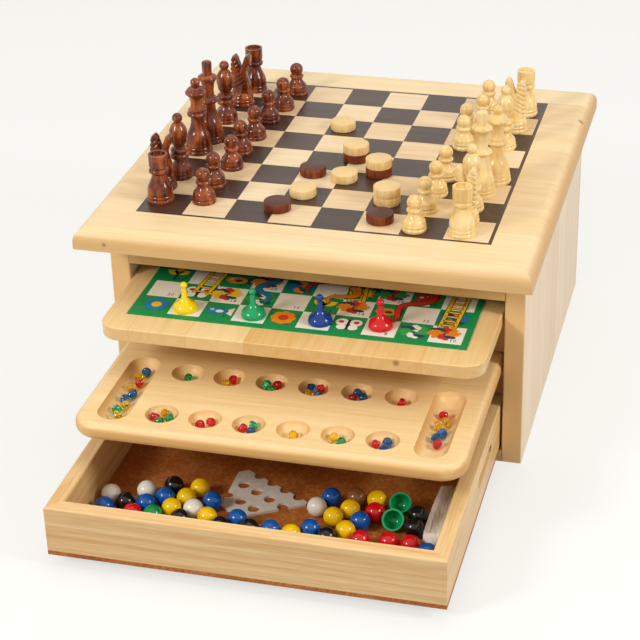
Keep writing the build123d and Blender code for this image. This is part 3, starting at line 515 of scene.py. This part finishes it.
# %% [markdown]
# ## The knights
# A knight can't come off a lathe alone: its foot is turned, and its head is sawn from a board as a plain
# V, one arm for ears and mane, one for the muzzle. A carver then nicks the mane with a gouge. The
# head is extruded from its outline and sliced by three planes at each nick, and the vertices on the
# middle plane are pushed in, which leaves V-shaped grooves.

# %% Knights
HEAD = [(-5.4, 8), (-6.4, 13), (-6.9, 20), (-7.0, 28), (-6.5, 33.6), (-5.5, 36.4), (-4.0, 37.2), (-2.6, 35.8),
        (-1.4, 32), (0.2, 27.2), (2.2, 32.4), (3.8, 36.8), (5.6, 37.8), (7.4, 35.8), (7.0, 31.6), (4.8, 28.4),
        (3.8, 25.2), (4.4, 21), (6.2, 15.5), (6.8, 11), (5.4, 8)]
HALF_BOARD = 0.0038
EASING = 0.0011
NICKS = 7
FIRST_NICK = Vector((-0.0066, 0, 0.0125))
NICK_PITCH = 0.0033
HALF_NICK = 0.0009
NICK_DEPTH = 0.0006
NICK_SQUEEZE = 0.84


def knight():
    """A knight that looks along +X, with its foot on Z = 0."""
    shape = bmesh.new()
    verts = [shape.verts.new((x / 1000, -HALF_BOARD, z / 1000)) for x, z in HEAD]
    face = shape.faces.new(verts)
    grown = bmesh.ops.extrude_face_region(shape, geom=[face])["geom"]
    far_side = [item for item in grown if isinstance(item, bmesh.types.BMVert)]
    bmesh.ops.translate(shape, vec=(0, 2 * HALF_BOARD, 0), verts=far_side)
    bmesh.ops.recalc_face_normals(shape, faces=shape.faces)
    rims = [edge for edge in shape.edges if abs(edge.verts[0].co.y - edge.verts[1].co.y) < 1e-6]
    bmesh.ops.bevel(shape, geom=rims, offset=EASING, offset_type="OFFSET", affect="EDGES", segments=2,
                    profile=0.5, material=-1)
    slope = Vector((-0.5, 0, 1)).normalized()
    for nick in range(NICKS):
        root = FIRST_NICK + Vector((0, 0, NICK_PITCH * nick))
        for offset in (-HALF_NICK, 0.0, HALF_NICK):
            bmesh.ops.bisect_plane(shape, geom=shape.verts[:] + shape.edges[:] + shape.faces[:], dist=1e-7,
                                   plane_co=root + slope * offset, plane_no=slope)
        for vert in shape.verts:
            if abs((vert.co - root).dot(slope)) < 1e-5 and vert.co.x < -0.001:
                vert.co.x += NICK_DEPTH
                vert.co.y *= NICK_SQUEEZE
    base = turned(outline(8.3, foot(8.3) + [(7.2, 3.0, 0.4), (6.0, 2.0, 0.3)]))
    part = bpy.data.meshes.new("part")
    base.to_mesh(part)
    base.free()
    shape.from_mesh(part)
    bpy.data.meshes.remove(part)
    return shape


for colour, finish, facing in (("dark", DARK_MAN, 0), ("pale", PALE_MAN, pi)):
    places = [standing(low, high) @ Matrix.Rotation(facing, 4, "Z") for low, high in solids(f"knights_{colour}")]
    keep(copies(knight(), places), f"carved_knights_{colour}", finish, f"chess_{colour}",
         [f"knights_{colour}"])

# %% [markdown]
# ## Draughts and counters
# A draught is a plain turned disc with its edges eased, and a counter is an onion with a long neck. The
# same spin makes both. Two draughts of one colour may stand on each other, so the number in a stack
# comes from its height.

# %% Draughts and counters
DISC_HEIGHT = 0.006
DISC = [(0, 0), (8.0, 0), (8.5, 0.2), (8.7, 0.7), (8.7, 5.3), (8.5, 5.8), (8.0, 6.0), (0, 6.0)]
for colour, finish in (("dark", DARK_DRAUGHT), ("pale", PALE_DRAUGHT)):
    places = []
    for low, high in solids(f"draughts_{colour}"):
        for storey in range(round((high.z - low.z) / DISC_HEIGHT)):
            places.append(Matrix.Translation((0, 0, DISC_HEIGHT * storey)) @ standing(low, high))
    keep(copies(turned(DISC, 48), places), f"turned_draughts_{colour}", finish, "draughts",
         [f"draughts_{colour}"])

# The onion is drawn with a belly of radius 1 and scaled to the counter's radius in millimetres.
ONION = outline(0.94, [(1.0, 0.14, 0), (0.5, 0.62, 0.16), (0.24, 0.36, -0.06), (0.2, 0.72, 0), (0.17, 0.1, 0)], 0.29)
ONION_RADIUS = 7.9
for colour in PLASTIC:
    place = standing(*solids(f"counter_{colour}")[0])
    shape = copies(turned([(ONION_RADIUS * radius, ONION_RADIUS * height) for radius, height in ONION], 40), [place])
    keep(shape, f"moulded_counter_{colour}", PLASTIC[colour], f"counter_{colour}",
         [f"counter_{colour}"], crease=60)

# %% [markdown]
# ## Balls and beads
# The balls are true spheres, so a UV sphere at each CAD place is right. The beads are pressed glass
# nuggets, broken off in flat facets and all a little different: a fine icosphere is cut back by eleven
# planes, each at its own angle and depth, which leaves real facets that sparkle.

# %% Balls and beads
for colour, finish in PAINT.items():
    balls = bmesh.new()
    for low, high in solids(f"balls_{colour}"):
        bmesh.ops.create_uvsphere(balls, u_segments=28, v_segments=18, radius=(high.x - low.x) / 2,
                                  matrix=Matrix.Translation((low + high) / 2))
    keep(balls, f"painted_balls_{colour}", finish, "drawer", [f"balls_{colour}"], crease=60)

FACETS = 11
SHALLOWEST_CUT = 0.92
DEEPEST_CUT = 0.62
noise.seed_set(7)
for colour, finish in GLASS.items():
    beads = bmesh.new()
    for number, (low, high) in enumerate(solids(f"gems_{colour}")):
        middle, radius = (low + high) / 2, (high.x - low.x) / 2
        tumbled = Matrix.Rotation(1.7 * number, 4, "Z") @ Matrix.Rotation(0.9 * number, 4, "X")
        made = bmesh.ops.create_icosphere(beads, subdivisions=3, radius=radius,
                                          matrix=Matrix.Translation(middle) @ tumbled)
        for cut in range(FACETS):
            facet = noise.random_unit_vector()
            height = radius * (DEEPEST_CUT + (SHALLOWEST_CUT - DEEPEST_CUT) * noise.random())
            for vert in made["verts"]:
                vert.co -= facet * max(0.0, (vert.co - middle).dot(facet) - height)
    keep(beads, f"glass_beads_{colour}", finish, "lower_tray", [f"gems_{colour}"], crease=24)

# %% [markdown]
# ## The printed card
# The card is green board with white squares, numbers, snakes and ladders printed on it. Ink could be an
# image texture, but plain shapes a few hundredths of a millimetre above the card stay sharp and need no
# file. Each ink is one flat mesh: squares from a grid with every other face left out, ribbons from grids
# whose vertices are carried along a curve, and the small pictures from circles. Inks that overlap lie
# on numbered layers, a hundredth of a millimetre apart, so that none shows through another.

# %% Card squares and numbers
low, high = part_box("snakes_and_ladders_card")
CARD_MIDDLE = Vector(((low[0] + high[0]) / 2, (low[1] + high[1]) / 2, high[2]))
MARGIN = 0.0042
CELL = (high[0] - low[0] - 2 * MARGIN) / 10
LAYER = 0.00001
SQUARES_LAYER = 5
NUMBERS_LAYER = 10
PICTURES_LAYER = 12
LADDERS_LAYER = 22
SNAKES_LAYER = 26
NUMBER_SIZE = 0.0046


def cell(column, row, layer=0):
    """The middle of a cell of the card, counted from the near left corner."""
    return CARD_MIDDLE + Vector(((column - 4.5) * CELL, (row - 4.5) * CELL, layer * LAYER))


squares = bmesh.new()
bmesh.ops.create_grid(squares, x_segments=10, y_segments=10, size=5 * CELL,
                      matrix=Matrix.Translation(cell(4.5, 4.5, SQUARES_LAYER)))
corner = cell(-0.5, -0.5)
green_cells = []
for face in squares.faces:
    across, back = [int((face.calc_center_median()[axis] - corner[axis]) / CELL) for axis in (0, 1)]
    if (across + back) % 2 == 0:
        green_cells.append(face)
bmesh.ops.delete(squares, geom=green_cells, context="FACES")
keep(squares, "card_white_squares", PRINT["white"], "upper_tray")

numbers = bmesh.new()
for count in range(100):
    row, step = divmod(count, 10)
    column = step if row % 2 == 0 else 9 - step
    text = bpy.data.curves.new("number", "FONT")
    text.body = str(count + 1)
    text.size = NUMBER_SIZE
    text.resolution_u = 1
    text.align_x = "CENTER"
    holder = bpy.data.objects.new("number", text)
    flat = bpy.data.meshes.new_from_object(holder)
    before = len(numbers.verts)
    numbers.from_mesh(flat)
    numbers.verts.ensure_lookup_table()
    bmesh.ops.translate(numbers, vec=cell(column + 0.22, row - 0.38, NUMBERS_LAYER), verts=numbers.verts[before:])
    bpy.data.objects.remove(holder)
    bpy.data.curves.remove(text)
    bpy.data.meshes.remove(flat)
keep(numbers, "card_numbers", PRINT["black"], "upper_tray")


# %% Snakes, ladders and little pictures
SNAKE_HALF = 0.0029
SNAKE_HEAD = 0.0043
SNAKE_RIM = 0.0007
EYE_RADIUS = 0.0012
PUPIL_RADIUS = 0.0005
LADDER_HALF = 0.0046
LADDER_RIM = 0.0005
RAIL_HALF = 0.0011
RUNG_HALF = 0.0008
RUNG_PITCH = 0.006
GOLDEN_ANGLE = 2.4
inks = {colour: bmesh.new() for colour in PRINT}


def ribbon(colour, path, width, layer=PICTURES_LAYER):
    """Lay a ribbon of ink along a path. path and half the width are functions of a share from 0 to 1."""
    made = bmesh.ops.create_grid(inks[colour], x_segments=60, y_segments=1, size=0.5)
    for vert in made["verts"]:
        share, side = vert.co.x + 0.5, vert.co.y * 2
        ahead = path(share + 0.005) - path(share - 0.005)
        aside = Vector((-ahead.y, ahead.x, 0)).normalized() * side * width(share)
        vert.co = path(share) + aside + Vector((0, 0, layer * LAYER))


def blob(colour, middle, radius, layer, squash=1.0, points=14):
    """A round or oval spot of ink."""
    place = Matrix.Translation(middle + Vector((0, 0, layer * LAYER))) @ Matrix.Diagonal((1, squash, 1, 1))
    bmesh.ops.create_circle(inks[colour], cap_ends=True, segments=points, radius=radius, matrix=place)


def snake(colour, head, tail, waves, swing):
    """A wavy snake from head to tail, both in cells, with a dark outline, a head and two eyes."""
    start, end = cell(*head), cell(*tail)
    side = Vector((start.y - end.y, end.x - start.x, 0)).normalized()

    def path(share):
        return start.lerp(end, share) + side * (swing * CELL * sin(waves * pi * share) * (1 - 0.25 * share))

    ribbon("black", path, lambda share: (SNAKE_HALF + SNAKE_RIM) * sqrt(max(0.02, 1 - share)), SNAKES_LAYER)
    ribbon(colour, path, lambda share: SNAKE_HALF * sqrt(max(0.01, 1 - share)), SNAKES_LAYER + 4)
    blob("black", start, SNAKE_HEAD + SNAKE_RIM, SNAKES_LAYER + 2, 0.75)
    blob(colour, start, SNAKE_HEAD, SNAKES_LAYER + 6, 0.75)
    for aside in (-0.0016, 0.0016):
        socket = start + Vector((aside, 0.0006, 0))
        blob("white", socket, EYE_RADIUS, SNAKES_LAYER + 8)
        blob("black", socket, PUPIL_RADIUS, SNAKES_LAYER + 10)


def ladder(foot_cell, head_cell):
    """A yellow ladder with black edges, from one cell to another, with a rung every 6 mm."""
    start, end = cell(*foot_cell), cell(*head_cell)
    side = Vector((start.y - end.y, end.x - start.x, 0)).normalized() * LADDER_HALF
    rungs = max(3, round((end - start).length / RUNG_PITCH))
    for colour, rim, layer in (("black", LADDER_RIM, LADDERS_LAYER), ("yellow", 0.0, LADDERS_LAYER + 3)):
        for edge in (-1, 1):
            ribbon(colour, lambda share: start.lerp(end, share) + side * edge, lambda share: RAIL_HALF + rim, layer)
        for rung in range(rungs):
            middle = start.lerp(end, (rung + 0.5) / rungs)
            ribbon(colour, lambda share: middle + side * (2 * share - 1), lambda share: RUNG_HALF + rim, layer)


def daisy(middle, petals, heart):
    """A flower of eight round petals."""
    for petal in range(8):
        turn = pi * petal / 4
        blob(petals, middle + Vector((cos(turn), sin(turn), 0)) * 0.0052, 0.0030, PICTURES_LAYER + 0.2 * petal)
    blob(heart, middle, 0.0034, PICTURES_LAYER + 4)


def sun(middle, rays, face):
    """A sun with twelve rays."""
    for ray in range(12):
        turn = Vector((cos(pi * ray / 6), sin(pi * ray / 6), 0))
        ribbon(rays, lambda share: middle + turn * (0.003 + 0.0062 * share), lambda share: 0.0016 * (1.02 - share))
    blob(face, middle, 0.0056, PICTURES_LAYER + 4, points=20)


def mushroom(middle, cap, stalk):
    """A mushroom with a spotted cap."""
    ribbon(stalk, lambda share: middle + Vector((0, 0.009 * share - 0.0085, 0)), lambda share: 0.0027 - 0.0009 * share)
    blob(cap, middle + Vector((0, 0.002, 0)), 0.0086, PICTURES_LAYER + 4, 0.62, 20)
    for spot, height in ((-0.0045, 0.002), (0.0002, 0.0044), (0.0044, 0.0012)):
        blob("white", middle + Vector((spot, height, 0)), 0.0014, PICTURES_LAYER + 8)


def leaf(middle, green, stalk):
    """Three leaves on a stalk."""
    for turn in (radians(35), radians(90), radians(145)):
        ahead = Vector((cos(turn), sin(turn), 0))
        ribbon(green, lambda share: middle + ahead * (0.0105 * share - 0.001),
               lambda share: 0.0030 * sin(pi * min(0.98, max(0.02, share))), PICTURES_LAYER + 1)
    ribbon(stalk, lambda share: middle + Vector((0, -0.0085 * share, 0)), lambda share: 0.0008)


def fish(middle, scales, fin):
    """A fat fish that swims to the left."""
    ribbon(fin, lambda share: middle + Vector((0.003 + 0.0060 * share, 0, 0)), lambda share: 0.0008 + 0.0044 * share)
    blob(scales, middle - Vector((0.0012, 0, 0)), 0.0072, PICTURES_LAYER + 2, 0.62, 20)
    blob(fin, middle + Vector((0.0002, -0.0004, 0)), 0.0026, PICTURES_LAYER + 5, 0.7)
    blob("white", middle + Vector((-0.0050, 0.0012, 0)), 0.0013, PICTURES_LAYER + 7)
    blob("black", middle + Vector((-0.0052, 0.0012, 0)), 0.0006, PICTURES_LAYER + 9)


def butterfly(middle, wing, spots):
    """Four wings, two spots and a body."""
    for side in (-1, 1):
        blob(wing, middle + Vector((side * 0.0044, 0.0026, 0)), 0.0042, PICTURES_LAYER + 1 + 0.2 * side)
        blob(wing, middle + Vector((side * 0.0036, -0.0036, 0)), 0.0032, PICTURES_LAYER + 3 + 0.2 * side)
        blob(spots, middle + Vector((side * 0.0048, 0.0028, 0)), 0.0018, PICTURES_LAYER + 6)
    ribbon("black", lambda share: middle + Vector((0, 0.012 * share - 0.006, 0)), lambda share: 0.0009,
           PICTURES_LAYER + 8)


def thicket(middle, leaves, petals):
    """A dense little heap of leaves and petals, set out like the seeds of a sunflower."""
    for piece in range(26):
        turn = GOLDEN_ANGLE * piece
        spot = middle + Vector((1.1 * cos(turn), 0.9 * sin(turn), 0)) * 0.0017 * sqrt(piece)
        colour = (leaves, petals, "navy", leaves)[piece * 7 % 4]
        blob(colour, spot, 0.0033 - 0.00006 * piece, PICTURES_LAYER + 0.3 * piece, 0.7, 9)


PICTURES = [(daisy, "blue", "yellow"), (thicket, "leaf", "yellow"), (mushroom, "red", "white"),
            (sun, "orange", "yellow"), (thicket, "blue", "orange"), (fish, "orange", "navy"),
            (leaf, "yellow", "navy"), (thicket, "leaf", "white"), (butterfly, "white", "red"),
            (daisy, "orange", "red"), (fish, "blue", "white")]
for row in range(10):
    for column in range(row % 2, 10, 2):
        draw, first, second = PICTURES[(5 * column + 3 * row) % len(PICTURES)]
        draw(cell(column, row), first, second)
THICKETS_ON_WHITE = ((9, 0), (6, 1), (2, 1), (7, 2), (3, 2), (0, 3), (4, 3), (5, 4), (1, 6), (8, 7), (3, 8))
for column, row in THICKETS_ON_WHITE:
    thicket(cell(column - 0.1, row + 0.08, 6), ("orange", "leaf", "yellow")[column % 3], "red")
LADDERS = (((1.1, 0.9), (1.3, 2.6)), ((8.9, 0.4), (9.0, 2.3)), ((5.9, 1.4), (5.6, 4.3)), ((0.2, 4.2), (2.1, 7.2)),
           ((6.8, 5.6), (8.7, 8.6)))
for foot_cell, head_cell in LADDERS:
    ladder(foot_cell, head_cell)
snake("blue", (2.9, 2.6), (3.1, 0.7), 3, 0.28)
snake("red", (5.0, 3.3), (4.3, 1.6), 2, 0.3)
snake("red", (8.1, 2.4), (6.9, 0.2), 3, 0.26)
snake("orange", (5.7, 2.2), (5.1, 1.1), 2, 0.3)
snake("navy", (6.4, 4.9), (6.5, 2.1), 4, 0.25)
snake("blue", (2.6, 8.6), (4.4, 5.2), 4, 0.3)
snake("orange", (8.2, 6.8), (9.2, 4.1), 3, 0.25)
snake("red", (5.2, 9.1), (5.9, 6.6), 3, 0.3)
for colour, ink in inks.items():
    if ink.verts:
        for face in ink.faces:
            if face.normal.z < 0:
                face.normal_flip()
        keep(ink, f"card_print_{colour}", PRINT[colour], "upper_tray", crease=180)
    else:
        ink.free()

# %% [markdown]
# ## The bag of small parts
# A thin clear bag round a folded slip of paper lies along the drawer's right wall. It is slack, so it
# lies in long soft folds from front to back, with a few hard creases where the film buckles. It starts
# as a block cut fine, which is rounded and then pushed in by two noises that are stretched along the
# bag. A simulation would fold it too, but creases by noise look the same on a piece this small. The
# paper makes it white; where only film lies, the brown drawer shows through as a greyish tint, which
# a slow noise paints.

# %% Bag
FILM, tree, shader = new_finish("polythene_film_on_paper", Roughness=0.24, IOR=1.5)
place = add(tree, "TexCoord")
long_folds = add(tree, "Mapping", {"Vector": place.outputs["Object"], "Scale": (95, 11, 60)})
cover = add(tree, "TexNoise", {"Vector": long_folds, "Scale": 1.0, "Detail": 1.5, "Distortion": 0.4})
tint = add(tree, "ValToRGB", {"Fac": cover.outputs["Fac"]},
           stops=[(0.28, "#b3a698"), (0.38, "#dedad4"), (0.46, "#f8f7f5")])
wrinkle = add(tree, "Mapping", {"Vector": place.outputs["Object"], "Scale": (300, 70, 300)})
buckle = add(tree, "TexNoise", {"Vector": wrinkle, "Scale": 1.0, "Detail": 2.0})
wire(tree, shader, Base_Color=tint, Normal=bump(tree, buckle.outputs["Fac"], 0.5, 0.0005))

CUTS = 31
BALL_RADIUS = 1.12
ROUNDING = 0.28
FOLD_DEPTH = 0.24
CREASE_DEPTH = 0.16
SLUMP = 0.3
low, high = [Vector(corner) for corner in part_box("parts_bag")]
middle, half = (low + high) / 2, (high - low) / 2
bag = bmesh.new()
bmesh.ops.create_cube(bag, size=2.0)
bmesh.ops.subdivide_edges(bag, edges=bag.edges[:], cuts=CUTS, use_grid_fill=True)
for vert in bag.verts:
    rounded = vert.co.lerp(vert.co.normalized() * BALL_RADIUS, ROUNDING)
    fold = abs(noise.noise(Vector((rounded.x * 2.6, rounded.y * 0.7, rounded.z * 0.8 + 3))))
    crease = abs(noise.noise(Vector((rounded.x * 4.0, rounded.y * 3.0 + rounded.x * 2, rounded.z * 2 + 9))))
    shrink = 0.98 - FOLD_DEPTH * fold - CREASE_DEPTH * crease
    slump = 1 - SLUMP * max(0.0, rounded.z) * (0.5 + 0.5 * rounded.y)
    wide, long, tall = half.x * (0.9 + 0.1 * shrink), half.y * 0.95, half.z * shrink * slump
    vert.co = middle + Vector((rounded.x * wide, rounded.y * long, rounded.z * tall))
bmesh.ops.translate(bag, vec=(0, 0, low.z - min(vert.co.z for vert in bag.verts)), verts=bag.verts)
bmesh.ops.recalc_face_normals(bag, faces=bag.faces)
pouch = keep(bag, "crumpled_parts_bag", FILM, "drawer", ["parts_bag"], crease=50)

# %% [markdown]
# ## Floor, world and lamps
# The box stands in a plain white studio. The floor keeps a soft shadow, and Light Path lifts it and the
# world to near white for the camera and for reflections only, so the object isn't lit by more than the
# lamps. The light that comes from everywhere is a little warm, as in a room with wood in it, so shade
# on the boards turns golden and not grey. Two soft boxes, left and right, leave the pairs of small
# highlights on the glossy men, and a large overhead one evens the light.

# %% Studio
STUDIO_WHITE = srgb("#fffffb")
WARM_WHITE = srgb("#fff0dc")
SEEN_STRENGTH = 0.97
LIGHT_STRENGTH = 0.53
FLOOR_LIFT = 0.65


def seen_rays(tree):
    """1 for the rays that see the studio, straight, mirrored or through glass, and 0 for those that light."""
    path = add(tree, "LightPath")
    seen = add(tree, "Math", {0: path.outputs["Is Camera Ray"], 1: path.outputs["Is Glossy Ray"]}, operation="MAXIMUM")
    return add(tree, "Math", {0: seen, 1: path.outputs["Is Transmission Ray"]}, operation="MAXIMUM")


world = bpy.data.worlds.new("studio")
bpy.context.scene.world = world
world.use_nodes = True
tree = world.node_tree
tree.nodes.clear()
seen = seen_rays(tree)
strength = add(tree, "MapRange", {"Value": seen, "To Min": LIGHT_STRENGTH, "To Max": SEEN_STRENGTH})
tint = add(tree, "Mix", {0: seen, 6: WARM_WHITE, 7: STUDIO_WHITE}, data_type="RGBA")
glow = add(tree, "Background", {"Color": tint.outputs[2], "Strength": strength.outputs[0]})
add(tree, "OutputWorld", {"Surface": glow})

FLOOR, tree, shader = new_finish("painted_studio_floor", Roughness=0.9, Base_Color=srgb("#92959a"),
                                 Emission_Color=STUDIO_WHITE)
lift = add(tree, "MapRange", {"Value": seen_rays(tree), "To Min": 0.0, "To Max": FLOOR_LIFT})
wire(tree, shader, Emission_Strength=lift)
HALF_FLOOR = 4.0
BELOW_THE_BOX = 0.0002
ground = bmesh.new()
bmesh.ops.create_grid(ground, x_segments=1, y_segments=1, size=HALF_FLOOR,
                      matrix=Matrix.Translation((0, 0, -BELOW_THE_BOX)))
mesh = bpy.data.meshes.new("studio_floor")
ground.to_mesh(mesh)
ground.free()
mesh.materials.append(FLOOR)
floor = bpy.data.objects.new("studio_floor", mesh)
bpy.context.collection.objects.link(floor)


def softbox(name, place, target, size, power, tone="#ffffff"):
    """A square area lamp that faces a target."""
    lamp = bpy.data.lights.new(name, "AREA")
    lamp.size = size
    lamp.energy = power
    lamp.color = srgb(tone)[:3]
    holder = bpy.data.objects.new(name, lamp)
    bpy.context.collection.objects.link(holder)
    holder.location = place
    holder.rotation_euler = (Vector(target) - Vector(place)).to_track_quat("-Z", "Y").to_euler()
    print(name, power, "W")


softbox("left_box", (-0.90, -1.20, 1.00), (0, -0.1, 0.1), 0.40, 13.0, "#fffaf2")
softbox("right_box", (1.15, -0.35, 0.80), (0, -0.1, 0.1), 0.40, 8.0, "#fffaf2")
softbox("overhead_box", (0.0, 0.15, 1.60), (0, -0.05, 0.1), 1.0, 4.0)

bpy.context.scene.view_settings.view_transform = "Standard"
